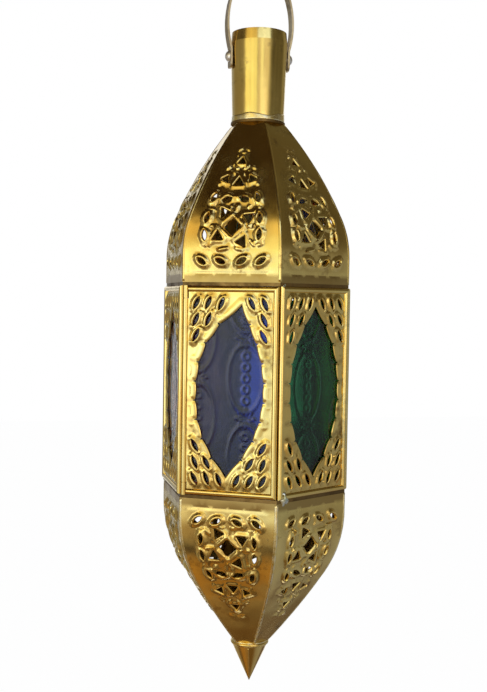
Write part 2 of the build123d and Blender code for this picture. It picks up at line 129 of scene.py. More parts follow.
# Materials
class Nodes:
    """A short way to write the node tree of a material or of the world."""

    def __init__(self, owner, output="ShaderNodeOutputMaterial"):
        self.owner = owner
        owner.use_nodes = True
        self.tree = owner.node_tree
        self.tree.nodes.clear()
        self.output = self.add(output)

    def add(self, kind, **inputs):
        node = self.tree.nodes.new(kind)
        for key, value in inputs.items():
            self.put(node.inputs[key.replace("_", " ")], value)
        return node

    def put(self, socket, value):
        if isinstance(value, bpy.types.NodeSocket):
            self.tree.links.new(value, socket)
        else:
            socket.default_value = value

    def noise(self, scale, detail=3.0, stretch=(1, 1, 1)):
        place = self.add("ShaderNodeTexCoord").outputs["Object"]
        place = self.add("ShaderNodeMapping", Vector=place, Scale=stretch).outputs["Vector"]
        return self.add("ShaderNodeTexNoise", Vector=place, Scale=scale, Detail=detail).outputs["Fac"]

    def ramp(self, value, low, high, start=0.0, end=1.0):
        ends = {"From_Min": low, "From_Max": high, "To_Min": start, "To_Max": end}
        return self.add("ShaderNodeMapRange", Value=value, **ends).outputs["Result"]

    def numbered(self, kind, inputs, **settings):
        """A node whose sockets share their names, so that they are set by number."""
        node = self.add(kind)
        for key, value in settings.items():
            setattr(node, key, value)
        for number, value in inputs.items():
            self.put(node.inputs[number], value)
        return node

    def mix(self, factor, first, second):
        colors = {0: factor, 6: first, 7: second}
        return self.numbered("ShaderNodeMix", colors, data_type="RGBA").outputs[2]

    def math(self, operation, first, second):
        return self.numbered("ShaderNodeMath", {0: first, 1: second}, operation=operation).outputs[0]

    def attribute(self, name):
        return self.numbered("ShaderNodeAttribute", {}, attribute_name=name)

    def bump(self, height, distance, strength=1.0, normal=None):
        node = self.add("ShaderNodeBump", Height=height, Strength=strength, Distance=distance)
        if normal is not None:
            self.put(node.inputs["Normal"], normal)
        return node.outputs["Normal"]

    def blend(self, factor, first, second):
        """A mix of two shaders as the surface."""
        shaders = {0: factor, 1: first.outputs[0], 2: second.outputs[0]}
        return self.surface(self.numbered("ShaderNodeMixShader", shaders))

    def surface(self, shader):
        self.put(self.output.inputs["Surface"], shader.outputs[0])
        return self.owner

    def principled(self, **inputs):
        return self.surface(self.add("ShaderNodeBsdfPrincipled", **inputs))


def new_material(name):
    return Nodes(bpy.data.materials.new(name))


def brass(name, tones, stain_low, stain_high, gloss):
    """Polished sheet in clean, warm and stained tones, with smudges, hairline scratches and dents; the
    stained tone also paints shade where a mesh attribute asks for it.
    """
    n = new_material(name)
    clean, warm, stain_and_shade_tone = tones
    clouds = n.noise(38.0, 5.0)
    grime = n.noise(260.0, 4.0)
    spots = n.math("MULTIPLY", clouds, n.ramp(grime, 0.25, 0.75, 0.75, 1.2))
    base = n.mix(n.ramp(n.noise(16.0, 2.0), 0.42, 0.70), clean, warm)
    # Painted shade from the mesh attribute (beside holes and cuts, on the hem band, over the back of the
    # sheets) darkens like the real stain spots
    painted_shade = n.attribute("painted_shade").outputs["Fac"]
    darkening = n.math("MAXIMUM", n.ramp(spots, stain_low, stain_high), painted_shade)
    color = n.mix(darkening, base, stain_and_shade_tone)
    smudge = n.noise(70.0, 4.0, (1, 1, 0.45))
    scratch = n.noise(900.0, 2.0, (1, 1, 0.05))
    dents = n.bump(n.noise(95.0, 1.0), 0.00010)
    normal = n.bump(scratch, 0.00002, 0.35, dents)
    polish = n.ramp(smudge, 0.3, 0.75, gloss[0], gloss[1])
    rough = n.math("ADD", polish, n.ramp(darkening, 0.0, 1.0, 0.0, 0.18))
    return n.principled(Base_Color=color, Metallic=1.0, Roughness=rough, Normal=normal)


def solder(name, clean, bloom, grain):
    """Tin solder, lumpy, with patches of another tone."""
    n = new_material(name)
    color = n.mix(n.ramp(n.noise(220.0, 4.0), 0.42, 0.66), clean, bloom)
    lumps = n.bump(n.noise(480.0, 2.0), grain)
    rough = n.ramp(n.noise(420.0), 0.3, 0.7, 0.22, 0.42)
    return n.principled(Base_Color=color, Metallic=1.0, Roughness=rough, Normal=lumps)


def glass(name, color, deep):
    """Pressed glass, coloured right through, with small ripples and seeds."""
    n = new_material(name)
    tint = n.mix(n.ramp(n.noise(45.0, 2.0), 0.35, 0.7), color, deep)
    ripples = n.bump(n.noise(110.0, 2.0), 0.00014)
    normal = n.bump(n.noise(700.0, 2.0), 0.00003, 0.6, ripples)
    rough = n.ramp(n.noise(60.0), 0.3, 0.75, 0.12, 0.22)
    return n.principled(Base_Color=tint, Roughness=rough, IOR=1.46, Transmission_Weight=1.0, Normal=normal)


sheet_brass = brass("sheet_brass", (bright_brass, warm_brass, deep_brown), 0.56, 0.80, (0.13, 0.27))
bead_brass = brass("bead_brass", (bright_brass, warm_brass, olive_brass), 0.54, 0.82, (0.11, 0.24))
strap_brass = brass("strap_brass", (dull_strap, warm_strap, strap_tarnish), 0.46, 0.72, (0.34, 0.54))
rivet_metal = brass("rivet_metal", (rivet_silver, warm_silver, rivet_dull), 0.52, 0.76, (0.40, 0.55))
inner_brass = brass("inner_brass", (warm_brass, deep_brown, darkest_brown), 0.44, 0.70, (0.30, 0.50))
# Deep brown brass that paints the shade under the neck's flange and in the gaps at the rings
shade_painted_brass = brass("shade_painted_brass", (deep_brown, darkest_brown, darkest_brown), 0.40, 0.66, (0.34, 0.52))
solder_metal = solder("solder_metal", solder_grey, solder_green, 0.00020)
seam_metal = solder("seam_metal", pale_solder, bright_brass, 0.00006)

# Glass of each face, the slot that it belongs to and the shift of its pattern
blue_glass = glass("blue_glass", (0.022, 0.058, 0.42, 1), (0.014, 0.030, 0.28, 1))
green_glass = glass("green_glass", (0.010, 0.150, 0.055, 1), (0.006, 0.085, 0.032, 1))
amber_glass = glass("amber_glass", (0.80, 0.36, 0.045, 1), (0.62, 0.24, 0.025, 1))
red_glass = glass("red_glass", (0.50, 0.028, 0.032, 1), (0.34, 0.014, 0.018, 1))
clear_glass = glass("clear_glass", (0.56, 0.62, 0.60, 1), (0.42, 0.48, 0.47, 1))
face_glass = {
    "front_left": (blue_glass, "glass_blue", (0.012, 0.010)),
    "front_right": (green_glass, "glass_green", (-0.006, 0.004)),
    "right": (amber_glass, "glass_amber", (0.003, -0.012)),
    "rear_right": (clear_glass, "glass_clear", (-0.014, 0.017)),
    "rear_left": (red_glass, "glass_red", (0.009, 0.024)),
    "left": (clear_glass, "glass_clear", (-0.002, -0.005)),
}


# Mesh helpers
def in_scene(name, data):
    """A new object in the scene."""
    thing = bpy.data.objects.new(name, data)
    scene.collection.objects.link(thing)
    return thing


def mesh_object(name, points, faces, material):
    mesh = bpy.data.meshes.new(name)
    mesh.from_pydata([tuple(p) for p in points], [], faces)
    mesh.materials.append(material)
    return in_scene(name, mesh)


def make_object(name, points, faces, material, body="lantern"):
    """A smooth-shaded mesh piece that rides on a body."""
    piece = mesh_object(name, points, faces, material)
    piece.data.polygons.foreach_set("use_smooth", [True] * len(piece.data.polygons))
    piece.data.update()
    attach(piece, body)
    return piece


def skin(rows, columns, rows_close=False, columns_close=False):
    """The faces between the points of a grid that is listed row by row."""
    faces = []
    for i in range(rows if rows_close else rows - 1):
        for k in range(columns if columns_close else columns - 1):
            a, b = i * columns + k, i * columns + (k + 1) % columns
            c, d = (b + columns) % (rows * columns), (a + columns) % (rows * columns)
            faces.append((a, b, c, d))
    return faces


def flipped(faces):
    """Four-sided faces turned to their other side."""
    return [(a, d, c, b) for a, b, c, d in faces]


def around(reach, turn, level):
    """A point at a distance from the axis, with its turn in radians."""
    return (reach * cos(turn), reach * sin(turn), level)


def spun(x, y, angle):
    c, s = cos(radians(angle)), sin(radians(angle))
    return c * x - s * y, s * x + c * y


def turned(points, angle):
    """Points made on the +X side, turned about the axis."""
    return np.column_stack((*spun(points[:, 0], points[:, 1], angle), points[:, 2]))


def placed(loop, place, angle):
    """A flat loop, turned and moved to its place."""
    return np.column_stack(spun(loop[:, 0], loop[:, 1], angle)) + np.array(place)


def closed(loop):
    """A loop with its first point again at its end."""
    return np.vstack((loop, loop[:1]))


def inside(points, loop):
    """Which points lie inside a closed loop."""
    result = np.zeros(len(points), bool)
    px, py = points[:, 0], points[:, 1]
    for (ax, ay), (bx, by) in zip(loop, np.roll(loop, -1, axis=0)):
        if ay != by:
            crosses = (ay > py) != (by > py)
            result ^= crosses & (px < (bx - ax) * (py - ay) / (by - ay) + ax)
    return result


def gap_to(points, line):
    """Distance from each point to an open line of points."""
    best = np.full(len(points), np.inf)
    for a, b in zip(line[:-1], line[1:]):
        along = b - a
        share = np.clip(((points - a) @ along) / max(along @ along, 1e-18), 0, 1)
        best = np.minimum(best, np.linalg.norm(points - a - share[:, None] * along, axis=1))
    return best


def gaps_to(points, lines):
    """Distances from each point to several lines, one row for each line."""
    return np.array([gap_to(points, line) for line in lines])


def resampled(loop, pitch):
    """A closed loop with its corners kept and its long edges divided."""
    out = []
    for a, b in zip(loop, np.roll(loop, -1, axis=0)):
        count = max(1, round(np.linalg.norm(b - a) / pitch))
        out += [a + (b - a) * i / count for i in range(count)]
    return np.array(out)


def unit(rows):
    """Each row at a length of 1."""
    return rows / np.linalg.norm(rows, axis=1)[:, None]


def outward(loop, distance):
    """Points at a distance outside a loop, square to its edges."""
    along = unit(loop - np.roll(loop, 1, axis=0)) + unit(np.roll(loop, -1, axis=0) - loop)
    along /= np.maximum(np.linalg.norm(along, axis=1), 1e-9)[:, None]
    area = np.sum(loop[:, 0] * np.roll(loop[:, 1], -1) - loop[:, 1] * np.roll(loop[:, 0], -1))
    side = 1.0 if area > 0 else -1.0
    return loop + distance * side * np.column_stack((along[:, 1], -along[:, 0]))


def almond(length, width, count=8):
    """A pointed oval along its own X, made of two equal arcs."""
    radius = (length**2 + width**2) / (4 * width)
    spread = np.arcsin(length / (2 * radius))
    turns = np.linspace(-spread, spread, count)
    top = np.column_stack((-radius * np.sin(turns), radius * np.cos(turns) - radius + width / 2))
    return np.vstack((top[:-1], -top[:-1]))


def polygon(radius, corners):
    """A regular polygon with one corner up."""
    turns = pi / 2 + np.arange(corners) * 2 * pi / corners
    return radius * np.column_stack((np.cos(turns), np.sin(turns)))


def wander(chance, reach):
    """A small random shift, sideways and along."""
    return np.array((chance.uniform(-reach, reach), chance.uniform(-reach, reach)))


# Pierced sheets: how far the lips reach from the holes, and how close the points lie
lip_reach = 0.0034
lip_steps = (0.0005, 0.0010, 0.0016, 0.0024, lip_reach)
hole_gap = lip_steps[0] * 0.7
fine_pitch = 0.001
fine_reach = 0.0085
edge_gap = fine_pitch * 0.5
grid_gap = lip_reach * 1.15
row_pitch = fine_pitch * 0.87
coarse_every = 4
same_point = 1e-7
# Painted shade over the back of the sheets, inside the lantern
back_shade = 0.6
sheet_crease = radians(50)


def on_sheet(points, outline, holes):
    """Which points lie inside the outline and outside all the holes."""
    keep = inside(points, outline)
    for hole in holes:
        keep &= ~inside(points, hole)
    return keep


class Sheet:
    """A flat drawing of a pierced sheet, triangulated with more points near its holes."""

    def __init__(self, outline, holes):
        rings = [closed(hole) for hole in holes]
        loose = [outward(hole, step) for hole in holes for step in lip_steps]
        loose.append(self.grid(outline, rings))
        loose = np.vstack(loose)
        loose = loose[on_sheet(loose, outline, holes) & (gap_to(loose, closed(outline)) > edge_gap)]
        loose = loose[gaps_to(loose, rings).min(axis=0) > hole_gap]
        points, edges = [], []
        for loop in [outline] + holes:
            start = len(points)
            points += [tuple(p) for p in loop]
            edges += [(start + i, start + (i + 1) % len(loop)) for i in range(len(loop))]
        points += [tuple(p) for p in loose]
        found = delaunay_2d_cdt([Vector(p) for p in points], edges, [], 0, same_point)
        self.points = np.array([tuple(p) for p in found[0]])
        faces = np.array([f for f in found[2] if len(f) == 3])
        self.faces = faces[on_sheet(self.points[faces].mean(axis=1), outline, holes)]
        self.gaps = gaps_to(self.points, rings)

    def grid(self, outline, rings):
        """A staggered grid, fine near the holes and coarse elsewhere."""
        low, high = outline.min(0), outline.max(0)
        rows = []
        for i, y in enumerate(np.arange(low[1] + fine_pitch / 2, high[1], row_pitch)):
            xs = np.arange(low[0] + (i % 2) * fine_pitch / 2, high[0], fine_pitch)
            coarse = (np.arange(len(xs)) % coarse_every == 0) & (i % coarse_every == 0)
            rows.append(np.column_stack((xs, np.full(len(xs), y), coarse)))
        rows = np.vstack(rows)
        points, coarse = rows[:, :2], rows[:, 2] > 0
        near = gaps_to(points, rings).min(axis=0)
        return points[(near > grid_gap) & (coarse | (near < fine_reach))]

    def solid(self, name, front, back, body, painted_shade):
        """A closed brass sheet from its front and back points, with its edges walled."""
        count = len(self.points)
        faces = self.faces.tolist()
        sides = {edge for a, b, c in faces for edge in ((a, b), (b, c), (c, a))}
        walls = [(b, a) for a, b in sorted(sides) if (b, a) not in sides]
        faces += (self.faces[:, ::-1] + count).tolist()
        faces += [(a, b, b + count, a + count) for a, b in walls]
        piece = make_object(name, np.vstack((front, back)), faces, sheet_brass, body)
        # Painted shade on the front from the caller, and over the whole back
        darkening = piece.data.attributes.new("painted_shade", "FLOAT", "POINT")
        darkening.data.foreach_set("value", np.concatenate((painted_shade, np.full(count, back_shade))))
        piece.data.set_sharp_from_angle(angle=sheet_crease)
        return piece


# Relief of the sheets
lip_edge_share = 0.35
lip_lean = 0.65
lip_fade = 3
petal_tip = 0.001
relief_fullness = 0.75
brow_points = 7


def lips(drawing, heights):
    """Rounded rims round the holes, highest a little way from each hole's edge."""
    total = np.zeros(len(drawing.points))
    for gap, height in zip(drawing.gaps, heights):
        share = np.clip(gap / lip_reach, 0, 1)
        rim = lip_edge_share + (1 - lip_edge_share) * np.sin(pi * share**lip_lean)
        rim *= 1 - share**lip_fade
        total = np.maximum(total, height * rim)
    return total


def petal_height(points, start, finish, width, height):
    """A rounded raised petal, pointed at both ends."""
    along = np.array(finish) - np.array(start)
    length = np.linalg.norm(along)
    along = along / length
    offset = points - np.array(start)
    share = np.clip(offset @ along / length, petal_tip, 1 - petal_tip)
    side = np.hypot(offset @ np.array((-along[1], along[0])), offset @ along - share * length)
    half = width / 2 * np.sqrt(4 * share * (1 - share))
    return height * np.clip(1 - (side / half) ** 2, 0, 1) ** relief_fullness


def brow_height(points, start, finish, bow, width, height):
    """A rounded raised bar whose middle bows up."""
    share = np.linspace(0, 1, brow_points)
    line = np.outer(1 - share, start) + np.outer(share, finish)
    line[:, 1] += bow * 4 * share * (1 - share)
    return height * np.clip(1 - (gap_to(points, line) / (width / 2)) ** 2, 0, 1) ** relief_fullness


def waves(points, scale, size, seed):
    """Slow unevenness of hand-worked sheet."""
    return np.array([size * noise.noise(Vector((x * scale, y * scale, seed))) for x, y in points])


def ground_shade(gaps, raised, reach, height):
    """Painted shade: 1 beside the holes where the sheet isn't raised, falling to 0 at a reach or a height.
    """
    near = np.clip(1 - np.min(gaps, axis=0) / reach, 0, 1)
    return near * np.clip(1 - raised / height, 0, 1)


# Walls of the dome and bowl
class Wall:
    """The curve of a wall: a straight hem and two arcs, each going on in the last one's direction.

    rise is 1 for the dome and -1 for the bowl.
    """

    def __init__(self, edge_z, rise, diamond_run, hem, shoulder, end):
        self.edge_z = edge_z
        self.rise = rise
        self.diamond_run = diamond_run
        start, along = np.array((wall_apothem, hem)), np.array((0.0, 1.0))
        self.runs = [(0.0, hem, np.array((wall_apothem, 0.0)), along, np.inf)]
        for finish in (shoulder, end):
            chord = np.array(finish) - start
            across = np.array((-along[1], along[0]))
            radius = (chord @ chord) / (2 * chord @ across)
            sweep = 2 * atan2(chord @ across, chord @ along)
            begin = self.runs[-1][0] + self.runs[-1][1]
            self.runs.append((begin, radius * sweep, start, along, radius))
            along = cos(sweep) * along + sin(sweep) * across
            start = np.array(finish)
        self.length = self.runs[-1][0] + self.runs[-1][1]

    def at(self, runs):
        """The points and the outward directions at distances along the wall from the hem's edge."""
        places, ways = np.zeros((len(runs), 2)), np.zeros((len(runs), 2))
        for begin, _, start, along, radius in self.runs:
            here = runs >= begin - 1e-9
            step = runs[here] - begin
            across = np.array((-along[1], along[0]))
            turn = step / radius
            forward = step if np.isinf(radius) else radius * np.sin(turn)
            sideways = 0 * step if np.isinf(radius) else radius * (1 - np.cos(turn))
            places[here] = start + np.outer(forward, along) + np.outer(sideways, across)
            now = np.outer(np.cos(turn), along) + np.outer(np.sin(turn), across)
            ways[here] = np.column_stack((now[:, 1], -now[:, 0]))
        return places, ways


# Piercings round the diamond: mirrored pairs by place, rise and turn, and each kind's loop and lip height
dome_diamond_run = 0.04
bowl_diamond_run = 0.0355
hem_slit_run = 0.0154
corner_triangle_reach = 0.0132
corner_triangle_turn = -12.0
pair_holes = [
    ("slit", 0.0205, -0.0060, 84.0),
    ("slit", 0.0198, 0.0065, 100.0),
    ("slit", 0.0165, 0.0230, 110.0),
    ("eye", 0.0062, 0.0215, -14.0),
    ("small_triangle", 0.0100, 0.0385, 30.0),
]
hem_slits = [(0.0225, 35.0), (0.0080, 25.0)]
top_triangle_rise = 0.0355
last_triangle_rise = 0.054
hole_pitch = 0.0013
hole_kinds = {
    "triangle": (resampled(polygon(0.0050, 3), hole_pitch), 0.0010),
    "small_triangle": (resampled(polygon(0.0040, 3), hole_pitch), 0.0012),
    "diamond": (resampled(polygon(0.0066, 4), hole_pitch), 0.0002),
    "slit": (almond(0.0080, 0.0032), 0.0018),
    "eye": (almond(0.0090, 0.0034), 0.0004),
}
hole_wander = 0.0003
hole_twist = 4
lip_spread = (0.8, 1.15)

# Raised petals and chisel marks of half a panel, from the diamond's middle: two ends, width and height
petals = [
    ((-0.0004, 0.0100), (0.0100, 0.0000), 0.0044, 0.0022),
    ((-0.0004, -0.0100), (0.0100, 0.0000), 0.0044, 0.0022),
    ((0.0104, 0.0000), (0.0182, 0.0006), 0.0034, 0.0016),
    ((0.0004, 0.0112), (0.0032, 0.0184), 0.0032, 0.0016),
    ((0.0130, 0.0190), (0.0096, 0.0140), 0.0030, 0.0015),
    ((0.0144, 0.0126), (0.0206, 0.0152), 0.0032, 0.0016),
    ((0.0054, 0.0334), (0.0072, 0.0404), 0.0030, 0.0014),
    ((0.0012, 0.0422), (0.0072, 0.0456), 0.0030, 0.0014),
    ((0.0022, 0.0470), (0.0068, 0.0520), 0.0030, 0.0014),
    ((0.0002, 0.0614), (0.0046, 0.0586), 0.0028, 0.0012),
    ((0.0008, 0.0670), (0.0050, 0.0640), 0.0024, 0.0010),
    ((0.0110, 0.0470), (0.0076, 0.0500), 0.0026, 0.0012),
    ((0.0148, 0.0330), (0.0126, 0.0360), 0.0026, 0.0012),
    ((0.0022, -0.0154), (0.0114, -0.0170), 0.0032, 0.0015),
    ((0.0132, -0.0094), (0.0176, -0.0146), 0.0030, 0.0014),
    ((0.0240, -0.0118), (0.0188, -0.0140), 0.0030, 0.0014),
    ((0.0236, 0.0010), (0.0222, 0.0050), 0.0026, 0.0012),
]
petal_wander = 0.0004
relief_spread = (0.75, 1.1)

# A brow over an eye: two ends, how far its middle bows up, width and height
brow = ((0.0010, 0.0218), (0.0118, 0.0212), 0.0038, 0.0040, 0.0026)

# Finish of a panel: points along its edges, flat margin, fold of the hem, dents, and painted shade beside
# the holes and on the hem band
edge_points = 60
base_points = 26
top_points = 9
highest_relief = 0.0019
flat_margin = 0.006
hem_fold_run = 0.0062
fold_depth = 0.0003
fold_width = 0.0012
panel_waves = ((55.0, 0.00028), (150.0, 0.00007))
shade_reach = 0.01
shade_height = 0.0005
ground_share = 0.45
hem_share = 0.75


def panel_holes(diamond_run, chance):
    """The loops of a panel's holes, each a little off its place, and the heights of their lips."""
    spots = [
        ("diamond", 0.0, diamond_run, 0.0),
        ("triangle", 0.0, diamond_run + top_triangle_rise, 0.0),
        ("small_triangle", 0.0, diamond_run + last_triangle_rise, 0.0),
    ]
    for corner in range(4):
        turn = 45 + corner * 90 + corner_triangle_turn
        place, up, _ = around(corner_triangle_reach, radians(turn), 0)
        spots.append(("triangle", place, diamond_run + up, turn - 90))
    for side in (-1, 1):
        for kind, place, up, turn in pair_holes:
            spots.append((kind, side * place, diamond_run + up, side * turn))
        for place, turn in hem_slits:
            spots.append(("slit", side * place, hem_slit_run, side * turn))
    holes, heights = [], []
    for kind, place, run, turn in spots:
        shape, lip_height = hole_kinds[kind]
        spot = np.array((place, run)) + wander(chance, hole_wander)
        holes.append(placed(shape, spot, turn + chance.uniform(-hole_twist, hole_twist)))
        heights.append(lip_height * chance.uniform(*lip_spread))
    return holes, heights


def panel_relief(points, diamond_run, chance):
    """Petals along the diamond's sides, brows over the eyes and chisel marks between the holes."""
    raised = np.zeros(len(points))
    for side in (-1, 1):
        half = points * (side, 1) - (0, diamond_run)
        for start, finish, width, lift in petals:
            shift = wander(chance, petal_wander)
            size = lift * chance.uniform(*relief_spread)
            raised = np.maximum(raised, petal_height(half + shift, start, finish, width, size))
        raised = np.maximum(raised, brow_height(half, *brow))
    return raised


def wall_panel(name, wall, angle, seed):
    """One pierced and embossed panel, mitred to its neighbours."""
    chance = random.Random(seed)
    holes, heights = panel_holes(wall.diamond_run, chance)
    runs = np.linspace(0, wall.length, edge_points)
    edge = np.column_stack((wall.at(runs)[0][:, 0] * half_side, runs))
    base = np.linspace(-edge[0, 0], edge[0, 0], base_points)[1:-1]
    top = np.linspace(edge[-1, 0], -edge[-1, 0], top_points)[1:-1]
    outline = np.vstack((
        np.column_stack((base, np.zeros(len(base)))),
        edge,
        np.column_stack((top, np.full(len(top), wall.length))),
        (edge * (-1, 1))[::-1],
    ))
    drawing = Sheet(outline, holes)
    points = drawing.points
    raised = np.maximum(lips(drawing, heights), panel_relief(points, wall.diamond_run, chance))
    rim = np.interp(points[:, 1], edge[:, 1], edge[:, 0]) - np.abs(points[:, 0])
    ends = np.minimum(points[:, 1], wall.length - points[:, 1])
    flat = np.clip(rim / flat_margin, 0, 1) * np.clip(ends / flat_margin, 0, 1)
    fold = fold_depth * np.exp(-(((points[:, 1] - hem_fold_run) / fold_width) ** 2))
    uneven = sum(waves(points, scale, size, seed) for scale, size in panel_waves)
    height = np.minimum((raised - fold + uneven) * flat, highest_relief)

    places, ways = wall.at(points[:, 1])
    outer = places + ways * height[:, None]
    inner = places + ways * (height - sheet)[:, None]
    narrow = (places[:, 0] - sheet) / places[:, 0]
    across = wall.rise * points[:, 0]
    front = np.column_stack((outer[:, 0], across, wall.edge_z + wall.rise * outer[:, 1]))
    back = np.column_stack((inner[:, 0], across * narrow, wall.edge_z + wall.rise * inner[:, 1]))
    # Painted shade beside the holes where the sheet isn't raised, and on the hem band up to its fold
    painted_shade = ground_share * ground_shade(drawing.gaps, raised, shade_reach, shade_height)
    painted_shade = np.maximum(painted_shade, hem_share * (points[:, 1] < hem_fold_run))
    return drawing.solid(name, turned(front, angle), turned(back, angle), "lantern", painted_shade)


dome_seed = 10
bowl_seed = 30
dome_wall = Wall(dome_edge_z, 1, dome_diamond_run, dome_hem, dome_shoulder, dome_end)
bowl_wall = Wall(bowl_edge_z, -1, bowl_diamond_run, bowl_hem, bowl_shoulder, bowl_end)
for number, (face, angle) in enumerate(face_angles.items()):
    panel = wall_panel(f"pierced_dome_{face}", dome_wall, angle, dome_seed + number)
    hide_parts(f"dome_panel_{face}")
    panel = wall_panel(f"pierced_bowl_{face}", bowl_wall, angle, bowl_seed + number)
    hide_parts(f"bowl_panel_{face}")

# Frets: flat pierced sheets with a lobed window and slots in each corner
fret_slot_depth = 0.001
outline_pitch = 0.004
window_end_margin = 0.01375
window_side_margin = 0.01095
window_half_height = body_height / 2 - window_end_margin
window_half_width = face_apothem * half_side - window_side_margin
window_fullness = 2.3
door_tip_lean = 0.0087
door_foot_lean = 0.002
window_lobes = 9
lobe_depth = 0.0008
lobe_shares = np.linspace(0.05, 0.95, 10)
notch_depth = 0.0019
slot_shape = almond(0.0100, 0.0030)
slot_tilt = 27.0
slot_border = 0.0062
slot_pitch = 0.0094
slot_top_margin = 0.008
slot_row_pitch = 0.0118
slot_rows = 3
slot_web = 0.0046
slot_wander = 0.0004
slot_twist = 7
slot_lip_height = 0.0015
knuckle_length = 0.009
barrel_rise = body_height / 2 - knuckle_length - side_clearance

# Finish of a fret: border of the window, flat margin, waves, and painted shade beside the slots and at the
# cuts of the border
border_width = 0.0058
border_height = 0.0006
border_lean = 0.7
cut_reach = 0.0026
fret_lift = 0.00012
fret_wave = (60.0, 0.00016)
fret_flat_margin = 0.003
fret_highest_relief = 0.0016
fret_shade_reach = 0.007
fret_shade_height = 0.0004
cut_shade_height = 0.0002
fret_shade_share = 0.5
fret_seed = 50


def window_edge(height, side, leaning):
    """The sideways place of the window's edge at a height from its middle."""
    share = height / window_half_height
    half = window_half_width * (1 - abs(share) ** window_fullness)
    if not leaning:
        return side * half
    middle = door_tip_lean * share**4 if share > 0 else door_foot_lean * share
    return middle + side * half


def window_loop(leaning):
    """The lobed outline of a window, and the lines that the cuts between its lobes run out along."""
    steps = [window_half_height * (2 * i / window_lobes - 1) for i in range(window_lobes + 1)]
    notches = [(window_edge(height, 1, leaning), height) for height in steps]
    notches += [(window_edge(height, -1, leaning), height) for height in reversed(steps[1:-1])]
    notches = np.array(notches)
    chords = np.roll(notches, -1, axis=0) - notches
    ways = np.column_stack((-chords[:, 1], chords[:, 0])) / np.linalg.norm(chords, axis=1)[:, None]
    loop, cuts = [], []
    for i, notch in enumerate(notches):
        away = -(ways[i] + ways[i - 1])
        away /= np.linalg.norm(away)
        pointed_end = i in (0, window_lobes)
        loop.append(notch if pointed_end else notch + away * notch_depth)
        if not pointed_end:
            cuts.append(np.array((notch, notch + away * border_width)))
        for share in lobe_shares:
            loop.append(notch + chords[i] * share + ways[i] * lobe_depth * 4 * share * (1 - share))
    return np.array(loop), cuts


def slot_spots(rise, leaning):
    """The places and turns of each corner's slots, one fewer in each row, where the window leaves room."""
    spots = []
    for side in (-1, 1):
        for end in (-1, 1):
            for row in range(slot_rows):
                height = rise - slot_top_margin - row * slot_row_pitch
                edge = side * window_edge(end * min(height, window_half_height), side, leaning)
                for count in range(slot_rows - row):
                    place = fret_side - slot_border - count * slot_pitch
                    if place > edge + slot_web:
                        spots.append((side * place, end * height, 90 + side * end * slot_tilt))
    return spots


def fret_outline(rise, is_door):
    """The edge of a fret, which goes a little way into the beads; the door's clears the knuckles."""
    wide, tall = fret_side + fret_slot_depth, rise + fret_slot_depth
    corners = [(-wide, -tall), (wide, -tall), (wide, tall), (-wide, tall)]
    if is_door:
        step = fret_side - side_clearance
        corners = [
            (-wide, -barrel_rise), (-step, -barrel_rise), (-step, -tall), (wide, -tall),
            (wide, tall), (-step, tall), (-step, barrel_rise), (-wide, barrel_rise),
        ]
    return resampled(np.array(corners), outline_pitch)


def fret_panel(face, seed):
    """A fret with raised rims round its slots and a scalloped border round its window."""
    chance = random.Random(seed)
    is_door = face == door_face
    rise = body_height / 2 - 2 * bead_radius - (side_clearance if is_door else 0)
    loop, cuts = window_loop(is_door)
    holes, heights = [loop], [0.0]
    for place, height, turn in slot_spots(rise, is_door):
        spot = np.array((place, height)) + wander(chance, slot_wander)
        holes.append(placed(slot_shape, spot, turn + chance.uniform(-slot_twist, slot_twist)))
        heights.append(slot_lip_height * chance.uniform(*relief_spread))
    drawing = Sheet(fret_outline(rise, is_door), holes)
    points = drawing.points
    raised = lips(drawing, heights)
    roll = border_height * np.sin(pi * np.clip(drawing.gaps[0] / border_width, 0, 1) ** border_lean)
    pinch = np.clip(gaps_to(points, cuts).min(axis=0) / cut_reach, 0, 1)
    edge = np.minimum(fret_side - np.abs(points[:, 0]), rise - np.abs(points[:, 1]))
    height = np.maximum(raised, roll * pinch) + fret_lift + waves(points, *fret_wave, seed)
    height = np.minimum(height * np.clip(edge / fret_flat_margin, 0, 1), fret_highest_relief)

    front = np.column_stack((face_apothem + height, points[:, 0], body_middle_z + points[:, 1]))
    back = front - np.array((sheet, 0, 0))
    # Painted shade beside the slots and at the cuts between the border's lobes
    ground = ground_shade(drawing.gaps[1:], raised, fret_shade_reach, fret_shade_height)
    painted_shade = fret_shade_share * np.maximum(ground, (1 - pinch) * (roll > cut_shade_height))
    angle = face_angles[face]
    body = "door" if is_door else "lantern"
    piece = drawing.solid(f"pierced_fret_{face}", turned(front, angle), turned(back, angle), body, painted_shade)
    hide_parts("door_fret" if is_door else f"fret_{face}")


for number, face in enumerate(face_angles):
    fret_panel(face, fret_seed + number)

# Pressed glass: panes cut from a sheet with a shallow repeated pattern on its front
glass_gap = 0.0002
glass_side_gap = 0.0006
glass_overlap = 0.004
glass_front = face_apothem - sheet - glass_gap
glass_thickness = 0.003
glass_side = fret_side - glass_side_gap
glass_rise = window_half_height + glass_overlap
glass_columns = 76
glass_rows = 164
glass_crease = radians(60)
relief_depth = 0.0004
ridge_width = 0.001
pattern_pitch = (0.036, 0.058)
pattern_copies = range(-2, 3)
medallion_half = (0.0130, 0.0245)
bead_levels = (-0.016, -0.008, 0.0, 0.008, 0.016)
bead_ring_radius = 0.0024
bead_ring_share = 0.8
rosette_radius = 0.005
rosette_petals = 8
petal_reach = 0.0018


def ridge(gap):
    """1 on a line, falling to 0 on both sides of it."""
    return np.exp(-((gap / ridge_width) ** 2))


